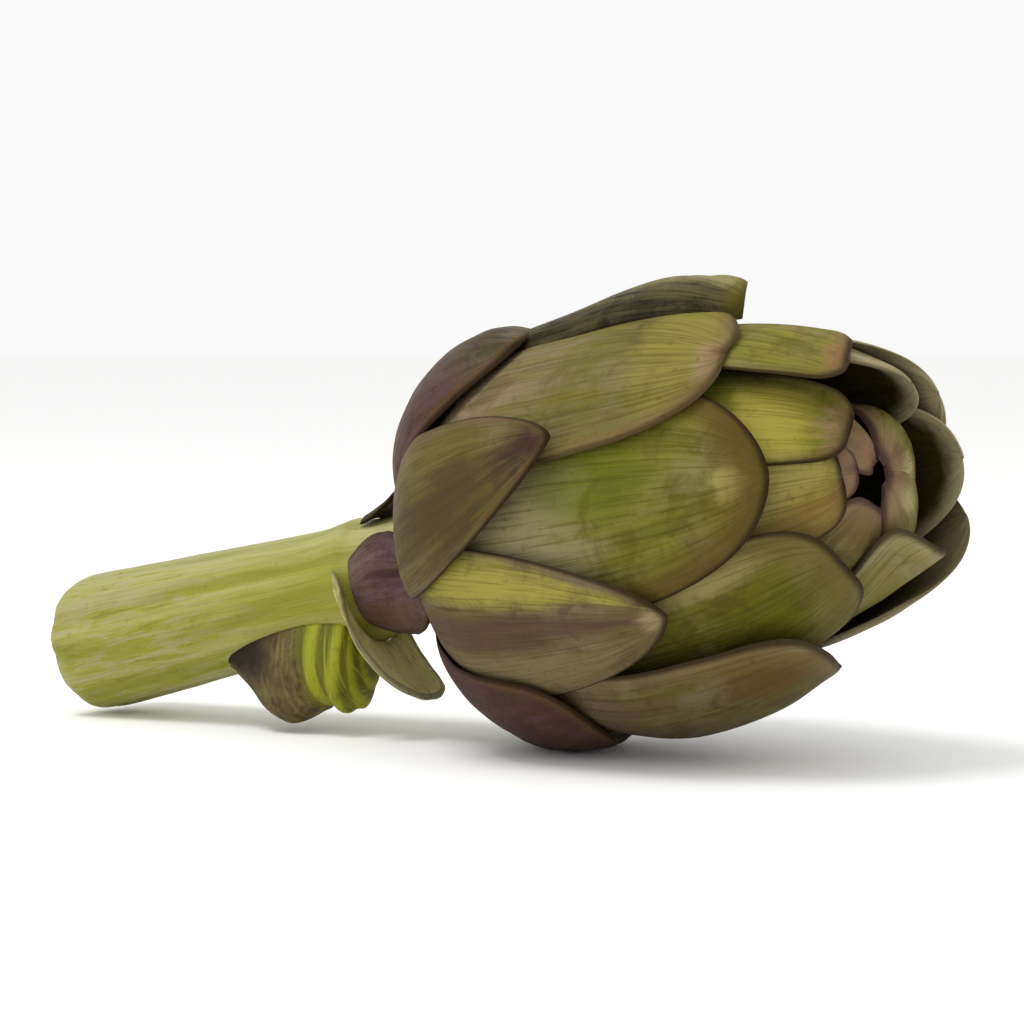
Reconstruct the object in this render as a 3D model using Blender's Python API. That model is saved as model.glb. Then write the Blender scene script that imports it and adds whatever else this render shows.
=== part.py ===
"""A picked artichoke lying on its side: a cut stem and the bracts that close round its head.

Metres, +Z up, the plant's axis along +X with the crown at the +X end. Every bract lies on a shell
of its own: the shells run from the outer profile of the head to the inner one, and the bracts
follow each other round the axis by the golden angle, outermost first.
"""
import math

import bmesh
import bpy
import numpy as np
from mathutils import Vector

MM = 0.001

# driving dimensions, millimetres and degrees
HEAD_TILT = 12.5          # the crown end is lifted by this much
STEM_DROOP = 1.1          # the stem bends down from the head's axis by this much at its cut end
STEM_SWING = 3.5          # and toward -Y
STEM_LENGTH = 97.0
CUT_RADIUS = 15.4
NECK_RADIUS = 12.4
BRACT_COUNT = 25
GOLDEN_ANGLE = 137.5
FIRST_AZIMUTH = 8.0       # of the outermost bract by the rule; 0 = up, 90 = toward -Y
EDGE_THICK = 0.8
COVERED_THICK = 1.3
TIP_THICK = 2.2
FLAT_PRESS = 1.0          # how far the lowest bracts are pressed flat on the table

# profiles of the head from the base of the bracts to their tips: station along the axis, radius
OUTER = ((2.5, 14.2), (4.5, 23.4), (9.0, 33.2), (17.0, 41.2), (29.0, 45.0), (44.0, 45.8), (60.0, 45.0),
         (76.0, 41.6), (91.0, 36.0), (104.0, 30.2), (118.0, 25.4))
INNER = ((26.0, 24.0), (30.0, 28.0), (37.0, 30.2), (46.0, 30.8), (58.0, 29.6), (70.0, 26.4), (81.0, 21.6),
         (90.0, 16.0), (97.0, 10.6), (102.5, 6.0), (106.0, 2.2))
# the far side of the head has opened: how far its outer bracts move to the outer profile, and where
OPENED = 0.7
OPEN_TOWARD = -80.0
BUD_INDEX = 19            # bracts from here on stay closed as the bud
# bracts set by hand, outermost = 0: azimuth, tip station, width, lift of the tip
PLACED = {
    0: (-16.0, 35.0, 50.0, 2.0),
    1: (190.0, 52.0, 46.0, 0.3),
    3: (69.0, 57.0, 35.0, 0.6),
    4: (145.0, 44.0, 40.0, 0.4),
    5: (-8.0, 78.5, 44.0, 9.0),
    6: (110.0, 75.0, 52.0, 0.8),
    8: (27.0, 90.0, 56.0, 3.0),
    9: (159.0, 95.0, 54.0, 2.0),
    10: (-57.0, 112.0, 48.0, 0.5),
    11: (80.0, 98.0, 52.0, 1.8),
    12: (-142.0, 110.0, 46.0, 0.5),
    13: (6.0, 112.0, 40.0, 0.5),
    14: (119.0, 109.0, 46.0, 2.2),
    15: (-90.0, 116.0, 42.0, 0.4),
    16: (56.0, 109.0, 34.0, 0.3),
    17: (165.0, 113.0, 36.0, 2.0),
    18: (-37.0, 114.0, 38.0, 0.3),
    19: (93.0, 109.0, 29.0, 0.3),
}
# bracts whose tip is lifted more along one edge: + for the edge at the larger azimuth
LIFT_SKEW = {9: 0.8}
# small bracts at the neck: azimuth, width, and the line of the midrib as station and radius
NECK_BRACTS = (
    (92.0, 17.5, 0.60, ((-15.5, 13.1), (-9.0, 13.9), (-3.0, 17.4), (1.5, 23.5), (4.0, 30.5))),
    (146.0, 15.0, 0.22, ((-21.0, 13.3), (-13.0, 14.6), (-6.5, 18.6), (-1.5, 25.0), (1.0, 32.0))),
    (18.0, 13.0, 0.40, ((-13.0, 13.0), (-7.0, 14.0), (-2.5, 17.5), (0.5, 23.0), (1.8, 28.5))),
)
# torn leaf under the stem: azimuth, width, and its outer line as station and radius
TORN_AZIMUTH = 166.0
TORN_WIDTH = 16.0
TORN_LINE = ((-54.0, 15.6), (-50.0, 20.0), (-44.5, 26.6), (-38.0, 29.6), (-31.0, 28.6), (-25.0, 25.6),
             (-21.5, 20.5))


def clear_scene():
    for item in list(bpy.context.scene.objects):
        bpy.data.objects.remove(item, do_unlink=True)


def smooth(low, high, value):
    t = np.clip((value - low) / (high - low), 0.0, 1.0)
    return t * t * (3.0 - 2.0 * t)


def spline(points):
    """A smooth curve through the points, as 201 samples at even steps of length."""
    p = np.array(points)
    p = np.vstack((2 * p[0] - p[1], p, 2 * p[-1] - p[-2]))
    t = np.linspace(0.0, 1.0, 20, endpoint=False)[:, None]
    runs = []
    for a, b, c, d in zip(p, p[1:], p[2:], p[3:]):
        runs.append(0.5 * (2 * b + (c - a) * t + (2 * a - 5 * b + 4 * c - d) * t ** 2
                           + (3 * b - a - 3 * c + d) * t ** 3))
    line = np.vstack(runs + [p[-2:-1]])
    run = np.concatenate(([0.0], np.cumsum(np.linalg.norm(np.diff(line, axis=0), axis=1))))
    even = np.linspace(0.0, run[-1], 201)
    return np.stack([np.interp(even, run, line[:, 0]), np.interp(even, run, line[:, 1])], -1)


SHARE = np.linspace(0.0, 1.0, 201)
OUTER_LINE, INNER_LINE = spline(OUTER), spline(INNER)


def normals(line):
    step = np.gradient(line, axis=0)
    return np.stack([-step[:, 1], step[:, 0]], -1) / np.linalg.norm(step, axis=1)[:, None]


LINES = np.stack([OUTER_LINE, INNER_LINE])
NORMALS = np.stack([normals(OUTER_LINE), normals(INNER_LINE)])


def blend(pair, share, depth):
    """Both coordinates of a pair of lines at a share of their length, mixed by depth."""
    ends = [np.stack([np.interp(share, SHARE, line[:, k]) for k in (0, 1)], -1) for line in pair]
    return ends[0] + (ends[1] - ends[0]) * np.asarray(depth)[..., None]


def depth_at(depth, share, azimuth, opens):
    """Depth of a shell where the head has opened."""
    side = smooth(-0.35, 0.3, np.cos(azimuth - math.radians(OPEN_TOWARD)))
    return depth * (1.0 - opens * OPENED * side * smooth(0.5, 1.0, share))


def place(depth, share, azimuth, height):
    """A point of the head; depth 0 = outermost shell, 1 = innermost."""
    normal = blend(NORMALS, share, depth)
    line = blend(LINES, share, depth) + normal * (height / np.linalg.norm(normal, axis=-1))[..., None]
    return np.stack([line[..., 0], -line[..., 1] * np.sin(azimuth), line[..., 1] * np.cos(azimuth)], -1)


def closed_body(outer, inner):
    """A closed body from an outer and an inner net with the same rows and columns."""
    rows, columns = outer.shape[:2]
    mesh = bmesh.new()
    top = [[mesh.verts.new(p) for p in row] for row in outer]
    low = [[mesh.verts.new(p) for p in row] for row in inner]
    for i in range(rows - 1):
        for j in range(columns - 1):
            flip = (i < (rows - 1) / 2) == (j < (columns - 1) / 2)
            for net, turn in ((top, False), (low, True)):
                a, b, c, d = net[i][j], net[i + 1][j], net[i + 1][j + 1], net[i][j + 1]
                faces = ((a, b, c), (a, c, d)) if flip else ((a, b, d), (b, c, d))
                for face in faces:
                    mesh.faces.new(face[::-1] if turn else face)
    rim = [(0, j) for j in range(columns)] + [(i, columns - 1) for i in range(1, rows)]
    rim += [(rows - 1, j) for j in range(columns - 2, -1, -1)] + [(i, 0) for i in range(rows - 2, 0, -1)]
    for (i, j), (k, l) in zip(rim, rim[1:] + rim[:1]):
        mesh.faces.new((top[i][j], top[k][l], low[k][l]))
        mesh.faces.new((top[i][j], low[k][l], low[i][j]))
    bmesh.ops.recalc_face_normals(mesh, faces=mesh.faces[:])
    if mesh.calc_volume(signed=True) < 0:
        bmesh.ops.reverse_faces(mesh, faces=mesh.faces[:])
    return mesh


def material(name, colour, roughness):
    made = bpy.data.materials.new(name)
    made.use_nodes = True
    shader = made.node_tree.nodes["Principled BSDF"]
    shader.inputs["Base Color"].default_value = (*colour, 1.0)
    shader.inputs["Roughness"].default_value = roughness
    return made


def add_object(mesh, name, group, parent, colour, roughness=0.6):
    data = bpy.data.meshes.new(name)
    mesh.to_mesh(data)
    mesh.free()
    piece = bpy.data.objects.new(name, data)
    group.objects.link(piece)
    piece.parent = parent
    data.materials.append(material(name + "_skin", colour, roughness))
    return piece


def bract_mesh(index, azimuth, tip, width, lift, tip_share=0.3, rows=11, columns=8):
    """One bract on its shell: half as wide again at its middle as at its tip, thin at its edges."""
    depth = index / (BRACT_COUNT - 1)
    opens = 0.0 if index >= BUD_INDEX else 1.0
    v, u = np.meshgrid(np.linspace(0, 1, rows), np.linspace(-1, 1, columns), indexing="ij")
    middle = np.full(201, math.radians(azimuth))
    own = blend(LINES, SHARE, depth_at(depth, SHARE, middle, opens))
    share = float(np.interp(tip, own[:, 0], SHARE)) * (v - 0.14 * v ** 3 * np.abs(u) ** 2.2)
    half = width / 2 * np.where(v < 0.5, 0.56 + 0.44 * np.sin(np.pi * v),
                                1.0 - (1.0 - tip_share) * (np.maximum(v - 0.5, 0) * 2) ** 2.1)
    turn = math.radians(azimuth) + np.clip(u * half / np.interp(share, SHARE, own[:, 1]), -1.2, 1.2)
    depth = depth_at(depth, share, turn, opens)
    inner = lift * smooth(0.35, 1.0, v) ** 1.4 * (1.0 + LIFT_SKEW.get(index, 0.0) * u)
    thick = COVERED_THICK + (TIP_THICK - COVERED_THICK) * smooth(0.5, 0.8, v) * (1 - 0.35 * smooth(0.8, 1, v))
    outer = inner + EDGE_THICK + (thick - EDGE_THICK) * (1 - np.abs(u) ** 2.2)
    return closed_body(place(depth, share, turn, outer) * MM, place(depth, share, turn, inner) * MM)


def bract_rule(index):
    """Azimuth, tip station, width and lift of the tip of a bract, 0 = outermost."""
    azimuth = (FIRST_AZIMUTH + GOLDEN_ANGLE * index) % 360
    young = max(0.0, 1.0 - index / 20.0)
    tip = 109.0 - 66.0 * young ** 1.7
    width = 34.0 + 18.0 * min(1.0, index / 6.0) - 50.0 * max(0.0, index / (BRACT_COUNT - 1) - 0.5)
    return azimuth, tip, width, 0.3


STEM = ((-STEM_LENGTH, CUT_RADIUS - 1.6), (-STEM_LENGTH + 1.6, CUT_RADIUS), (-80, 14.9), (-60, 14.1),
        (-40, 13.3), (-20, 12.6), (-8, NECK_RADIUS), (0, 12.6), (5, 14.0), (12, 17.2), (19, 20.6), (25.5, 22.4))


def stem_centre(station):
    """Where the stem's middle is: straight behind the head, bent a little below and to one side."""
    bend = np.minimum(0.0, np.asarray(station) + 4.0)
    return np.stack([station + 0 * bend, bend * math.tan(math.radians(STEM_SWING)),
                     bend * math.tan(math.radians(STEM_DROOP))], -1)


def stem_mesh(ring=28):
    """The cut stem with the flared top that the bracts grow from, as one turned body."""
    mesh = bmesh.new()
    rings = []
    for station, radius in STEM:
        centre = Vector(stem_centre(station))
        rings.append([mesh.verts.new((centre + Vector((0, -radius * math.sin(t), radius * math.cos(t)))) * MM)
                      for t in np.linspace(0, 2 * math.pi, ring, endpoint=False)])
    for a, b in zip(rings, rings[1:]):
        for k in range(ring):
            mesh.faces.new((a[k], b[k], b[(k + 1) % ring], a[(k + 1) % ring]))
    for end in (rings[0], rings[-1]):
        hub = mesh.verts.new(sum((v.co for v in end), Vector()) / ring)
        for k in range(ring):
            mesh.faces.new((end[k], end[(k + 1) % ring], hub))
    bmesh.ops.triangulate(mesh, faces=mesh.faces[:])
    bmesh.ops.recalc_face_normals(mesh, faces=mesh.faces[:])
    return mesh


def on_stem(station, turn, radius):
    centre = stem_centre(station)
    return centre + np.stack([0 * radius, -radius * np.sin(turn), radius * np.cos(turn)], -1)


def neck_bract_mesh(azimuth, width, tip_share, line):
    """A small bract that grows from the stem and follows its own midrib line."""
    line = np.array(line)
    v, u = np.meshgrid(np.linspace(0, 1, 8), np.linspace(-1, 1, 6), indexing="ij")
    reach = (v - 0.12 * v ** 2 * u ** 2) * (len(line) - 1)
    station, radius = (np.interp(reach, np.arange(len(line)), line[:, k]) for k in (0, 1))
    half = width / 2 * np.where(v < 0.45, 0.8 + 0.2 * np.sin(np.pi * v / 0.9),
                                1.0 - (1.0 - tip_share) * (np.maximum(v - 0.45, 0) / 0.55) ** 1.8)
    turn = math.radians(azimuth) + u * half / radius
    thick = 0.7 + 1.1 * (1 - u ** 2) * (1 - 0.4 * v)
    slope = np.gradient(line, axis=0)
    slope /= np.linalg.norm(slope, axis=1)[:, None]
    out_x = -np.interp(reach, np.arange(len(line)), slope[:, 1])
    out_r = np.interp(reach, np.arange(len(line)), slope[:, 0])
    outer = on_stem(station + thick * out_x, turn, radius + thick * out_r)
    return closed_body(outer * MM, on_stem(station, turn, radius) * MM)


def torn_leaf_mesh():
    """The stump of a leaf torn off under the stem: thick, rounded across and blunt at its end."""
    line = np.array(TORN_LINE)
    v, u = np.meshgrid(np.linspace(0, 1, 8), np.linspace(-1, 1, 7), indexing="ij")
    station, radius = (np.interp(v * (len(line) - 1), np.arange(len(line)), line[:, k]) for k in (0, 1))
    under = np.interp(station, [p[0] for p in STEM], [p[1] for p in STEM]) + 0.6
    half = TORN_WIDTH / 2 * (0.62 + 0.38 * np.sin(np.pi * v))
    turn = math.radians(TORN_AZIMUTH) + u * half / under
    outer = under + 1.2 + (radius - under - 1.2) * (1 - 0.75 * np.abs(u) ** 2.6)
    shrink = 1.0 - 0.25 * (outer - under) / 14.0
    turn_outer = math.radians(TORN_AZIMUTH) + u * half / under * shrink
    return closed_body(on_stem(station, turn_outer, outer) * MM, on_stem(station, turn, under) * MM)


def build():
    clear_scene()
    group = bpy.data.collections.new("artichoke")
    bpy.context.scene.collection.children.link(group)
    root = bpy.data.objects.new("artichoke", None)
    head = bpy.data.objects.new("head_axis", None)
    for empty in (root, head):
        group.objects.link(empty)
    head.parent = root
    head.rotation_euler = (0.0, math.radians(-HEAD_TILT), 0.0)

    pieces = [add_object(stem_mesh(), "stem", group, head, (0.42, 0.47, 0.14))]
    for index in range(BRACT_COUNT):
        azimuth, tip, width, lift = PLACED.get(index, bract_rule(index))
        depth = index / (BRACT_COUNT - 1)
        green = (0.20 + 0.06 * depth, 0.23 + 0.10 * depth, 0.06)
        mesh = bract_mesh(index, azimuth, tip, width, lift)
        pieces.append(add_object(mesh, f"bract_{index + 1:02d}", group, head, green))
    for index, (azimuth, width, tip_share, line) in enumerate(NECK_BRACTS):
        mesh = neck_bract_mesh(azimuth, width, tip_share, line)
        pieces.append(add_object(mesh, f"neck_bract_{index + 1}", group, head, (0.24, 0.22, 0.10)))
    pieces.append(add_object(torn_leaf_mesh(), "torn_leaf", group, head, (0.26, 0.24, 0.10)))
    bpy.context.view_layer.update()

    low = min((p.matrix_world @ v.co).z for p in pieces[1:] for v in p.data.vertices) + FLAT_PRESS * MM
    box = [p.matrix_world @ v.co for p in pieces for v in p.data.vertices]
    middle_x = (min(p.x for p in box) + max(p.x for p in box)) / 2
    middle_y = (min(p.y for p in box) + max(p.y for p in box)) / 2
    root.location = (-middle_x, -middle_y, -low)
    bpy.context.view_layer.update()
    for piece in pieces[1:]:
        back = piece.matrix_world.inverted()
        for vertex in piece.data.vertices:
            point = piece.matrix_world @ vertex.co
            if point.z < 0.0:
                point.z = 0.0
                vertex.co = back @ point


build()
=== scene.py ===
import math

import bmesh
import bpy
import numpy as np
from mathutils import Matrix, Vector, noise


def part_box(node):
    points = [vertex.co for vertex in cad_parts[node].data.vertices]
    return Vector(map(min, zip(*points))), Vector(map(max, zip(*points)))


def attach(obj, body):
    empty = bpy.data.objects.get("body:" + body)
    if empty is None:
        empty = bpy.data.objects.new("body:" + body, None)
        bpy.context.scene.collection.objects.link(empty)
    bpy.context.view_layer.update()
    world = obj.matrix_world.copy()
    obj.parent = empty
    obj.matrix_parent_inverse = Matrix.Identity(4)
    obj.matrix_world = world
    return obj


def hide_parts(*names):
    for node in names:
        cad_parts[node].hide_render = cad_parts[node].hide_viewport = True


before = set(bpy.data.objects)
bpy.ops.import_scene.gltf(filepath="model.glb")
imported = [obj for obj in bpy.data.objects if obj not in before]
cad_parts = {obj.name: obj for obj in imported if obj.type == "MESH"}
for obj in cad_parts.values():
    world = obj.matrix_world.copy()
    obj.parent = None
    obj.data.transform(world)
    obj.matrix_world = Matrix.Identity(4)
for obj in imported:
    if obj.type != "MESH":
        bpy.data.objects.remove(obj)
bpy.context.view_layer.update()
print("frame loaded:", len(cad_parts), "nodes")

mm = 0.001


def paint(*tint):  # a colour as a painter reads it, 0 to 255, made linear
    return tuple(c / 255 / 12.92 if c < 11 else ((c / 255 + 0.055) / 1.055) ** 2.4 for c in tint) + (1.0,)


# nodes written as sums

class Wire:
    def __init__(self, desk, socket):
        self.desk, self.socket = desk, socket

    def out(self, name):  # another output of the same node
        return Wire(self.desk, self.socket.node.outputs[name])

    def math(self, operation, *others):
        return self.desk.math(operation, self, *others)

    def __add__(self, other):
        return self.desk.math("ADD", self, other)

    def __radd__(self, other):
        return self.desk.math("ADD", other, self)

    def __sub__(self, other):
        return self.desk.math("SUBTRACT", self, other)

    def __rsub__(self, other):
        return self.desk.math("SUBTRACT", other, self)

    def __mul__(self, other):
        return self.desk.math("MULTIPLY", self, other)

    def __rmul__(self, other):
        return self.desk.math("MULTIPLY", other, self)

    def __truediv__(self, other):
        return self.desk.math("DIVIDE", self, other)

    def __rtruediv__(self, other):
        return self.desk.math("DIVIDE", other, self)

    def __pow__(self, other):
        return self.desk.math("POWER", self, other)


class Desk:
    def __init__(self, tree):
        self.tree = tree

    def add(self, kind, settings=None, inputs=None, out=0):
        node = self.tree.nodes.new(kind)
        for key, value in (settings or {}).items():
            setattr(node, key, value)
        for key, value in (inputs or {}).items():
            if isinstance(value, Wire):
                self.tree.links.new(value.socket, node.inputs[key])
            else:
                node.inputs[key].default_value = value
        return Wire(self, node.outputs[out])

    def math(self, operation, *terms):
        return self.add("ShaderNodeMath", {"operation": operation}, dict(enumerate(terms)))

    def vector(self, operation, *terms, scale=None):
        given = dict(enumerate(terms))
        if scale is not None:
            given["Scale"] = scale
        return self.add("ShaderNodeVectorMath", {"operation": operation}, given)

    def join(self, x, y, z):
        return self.add("ShaderNodeCombineXYZ", None, {0: x, 1: y, 2: z})

    def parts(self, vector):
        split = self.add("ShaderNodeSeparateXYZ", None, {0: vector})
        return split, split.out("Y"), split.out("Z")

    def ease(self, value, low, high, start=0.0, end=1.0):  # smooth step from start to end
        return self.add("ShaderNodeMapRange", {"interpolation_type": "SMOOTHSTEP"},
                        {0: value, 1: low, 2: high, 3: start, 4: end})

    def blend(self, factor, first, second):
        return self.add("ShaderNodeMix", {"data_type": "FLOAT"}, {0: factor, 2: first, 3: second})

    def blendVector(self, factor, first, second):
        return self.add("ShaderNodeMix", {"data_type": "VECTOR"}, {0: factor, 4: first, 5: second}, 1)

    def blendColour(self, factor, first, second):
        return self.add("ShaderNodeMix", {"data_type": "RGBA"}, {0: factor, 6: first, 7: second}, 2)

    def noise(self, vector, scale, detail=3.0, rough=0.55, warp=0.0):
        return self.add("ShaderNodeTexNoise", {"noise_dimensions": "3D"},
                        {"Vector": vector, "Scale": scale, "Detail": detail, "Roughness": rough,
                         "Distortion": warp})

    def read(self, attribute, out="Fac"):  # an attribute that the mesh carries
        return self.add("ShaderNodeAttribute", {"attribute_name": attribute}, None, out)


# stations run along the head's axis from its base to its crown, mm; the stem's are below 0
plant = {
    "headTilt": 12.5,       # degrees, crown end up
    "stemDroop": 1.1,       # degrees that the stem leaves the head's axis by, down and sideways
    "stemSwing": 3.5,
    "bendFrom": -4.0,       # station where it starts to
    "stemEnd": ((-97, 13.8), (-95.4, 15.4), (-80, 14.9)),     # rings that reach lowest and furthest
    "bractCount": 25,
    "middleFrom": 8,        # bracts from here are middle ones, and from budFrom they stay closed
    "budFrom": 19,
    "goldenAngle": 137.5,
    "firstAzimuth": 8.0,    # 0 is up, 90 toward -Y
    "opened": 0.7,          # how far the open side moves to the outer profile
    "openToward": -80.0,
    "openSide": (-0.35, 0.3),     # cosines from that side between which it opens
    "openAlong": (0.5, 1.0),      # shares of the profile between which it opens
    "outerProfile": ((2.5, 14.2), (4.5, 23.4), (9, 33.2), (17, 41.2), (29, 45), (44, 45.8), (60, 45),
                     (76, 41.6), (91, 36), (104, 30.2), (118, 25.4)),
    "innerProfile": ((26, 24), (30, 28), (37, 30.2), (46, 30.8), (58, 29.6), (70, 27.4), (81, 24.2),
                     (90, 20), (98, 14.6), (102, 10.2), (104.6, 5.6), (105.6, 1.0)),
}

swing = math.tan(math.radians(plant["stemSwing"]))
droop = math.tan(math.radians(plant["stemDroop"]))


def spline(points, steps=200):  # smooth line through the points, evenly spaced
    p = np.array(points, float)
    p = np.vstack((2 * p[0] - p[1], p, 2 * p[-1] - p[-2]))
    t = np.linspace(0.0, 1.0, 20, endpoint=False)[:, None]
    runs = [0.5 * (2 * b + (c - a) * t + (2 * a - 5 * b + 4 * c - d) * t ** 2
                   + (3 * b - a - 3 * c + d) * t ** 3)
            for a, b, c, d in zip(p, p[1:], p[2:], p[3:])]
    line = np.vstack(runs + [p[-2:-1]])
    run = np.concatenate(([0.0], np.cumsum(np.linalg.norm(np.diff(line, axis=0), axis=1))))
    even = np.linspace(0.0, run[-1], steps + 1)
    return np.stack([np.interp(even, run, line[:, k]) for k in (0, 1)], -1)


def smooth(low, high, value):
    t = np.clip((value - low) / (high - low), 0.0, 1.0)
    return t * t * (3.0 - 2.0 * t)


outerLine, innerLine = spline(plant["outerProfile"]), spline(plant["innerProfile"])
shares = np.linspace(0.0, 1.0, len(outerLine))


def stemAxis(station):  # middle of the stem in the head's frame, mm
    bend = min(0.0, station - plant["bendFrom"])
    return Vector((station, bend * swing, bend * droop))


def headPlace():  # the head's frame in the world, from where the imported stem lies
    tilt = Matrix.Rotation(math.radians(-plant["headTilt"]), 4, "Y")
    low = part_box("stem")[0]
    ring = [tilt @ ((stemAxis(s) + Vector((0, -r * math.sin(t), r * math.cos(t)))) * mm)
            for s, r in plant["stemEnd"]
            for t in np.linspace(0, 2 * math.pi, 28, endpoint=False)]
    corner = Vector([min(p[k] for p in ring) for k in range(3)])
    return Matrix.Translation(low - corner) @ tilt


headToWorld = headPlace()
print("head placed at", [round(c / mm, 2) for c in headToWorld.translation])


def carrier(name, lines):  # profile lines as edges, station on X and radius on Z
    mesh = bpy.data.meshes.new(name)
    points, edges = [], []
    for line in lines:
        first = len(points)
        points += [(s * mm, 0.0, r * mm) for s, r in line]
        edges += [(first + k, first + k + 1) for k in range(len(line) - 1)]
    mesh.from_pydata(points, edges, [])
    piece = bpy.data.objects.new(name, mesh)
    bpy.context.scene.collection.objects.link(piece)
    return piece


def askFor(tree, numbers):  # named inputs of a geometry tree
    face = tree.interface
    face.new_socket("Geometry", in_out="INPUT", socket_type="NodeSocketGeometry")
    for name in numbers:
        face.new_socket(name, in_out="INPUT", socket_type="NodeSocketFloat")
    face.new_socket("Skin", in_out="INPUT", socket_type="NodeSocketMaterial")
    face.new_socket("Geometry", in_out="OUTPUT", socket_type="NodeSocketGeometry")
    start = tree.nodes.new("NodeGroupInput")
    desk = Desk(tree)
    return desk, {s.name: Wire(desk, s) for s in start.outputs if s.name}


def finishTree(desk, geometry, skin):
    merged = desk.add("GeometryNodeMergeByDistance", None, {"Geometry": geometry, "Distance": 1e-6})
    shaded = desk.add("GeometryNodeSetShadeSmooth", None, {0: merged})
    real = desk.add("GeometryNodeRealizeInstances", None, {0: shaded})
    dressed = desk.add("GeometryNodeSetMaterial", None, {"Geometry": real, "Material": skin})
    end = desk.tree.nodes.new("NodeGroupOutput")
    desk.tree.links.new(dressed.socket, end.inputs[0])


def store(desk, geometry, name, value, kind="FLOAT"):
    return desk.add("GeometryNodeStoreNamedAttribute", {"data_type": kind, "domain": "POINT"},
                    {"Geometry": geometry, "Name": name, "Value": value})


def sample(desk, curves, index, share):  # point and outward normal of a profile line
    taken = desk.add("GeometryNodeSampleCurve", {"mode": "FACTOR"},
                     {"Curves": curves, "Factor": share, "Curve Index": index}, "Position")
    x, y, z = desk.parts(taken.out("Tangent"))
    return taken, desk.join(z * -1.0, 0.0, x)


# a bract grows on a shell between the two profile lines
leafNumbers = ("Azimuth", "Depth", "Reach", "Width", "Lift", "Skew", "Opened", "Base Thickness",
               "Tip Thickness", "Base Width", "Broadest", "Bluntness", "Rolled Rim", "Notch", "Waves",
               "Rib Height", "Sway", "Hug", "Curl", "Slant", "Lift From", "Lift To", "Seed")


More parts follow.
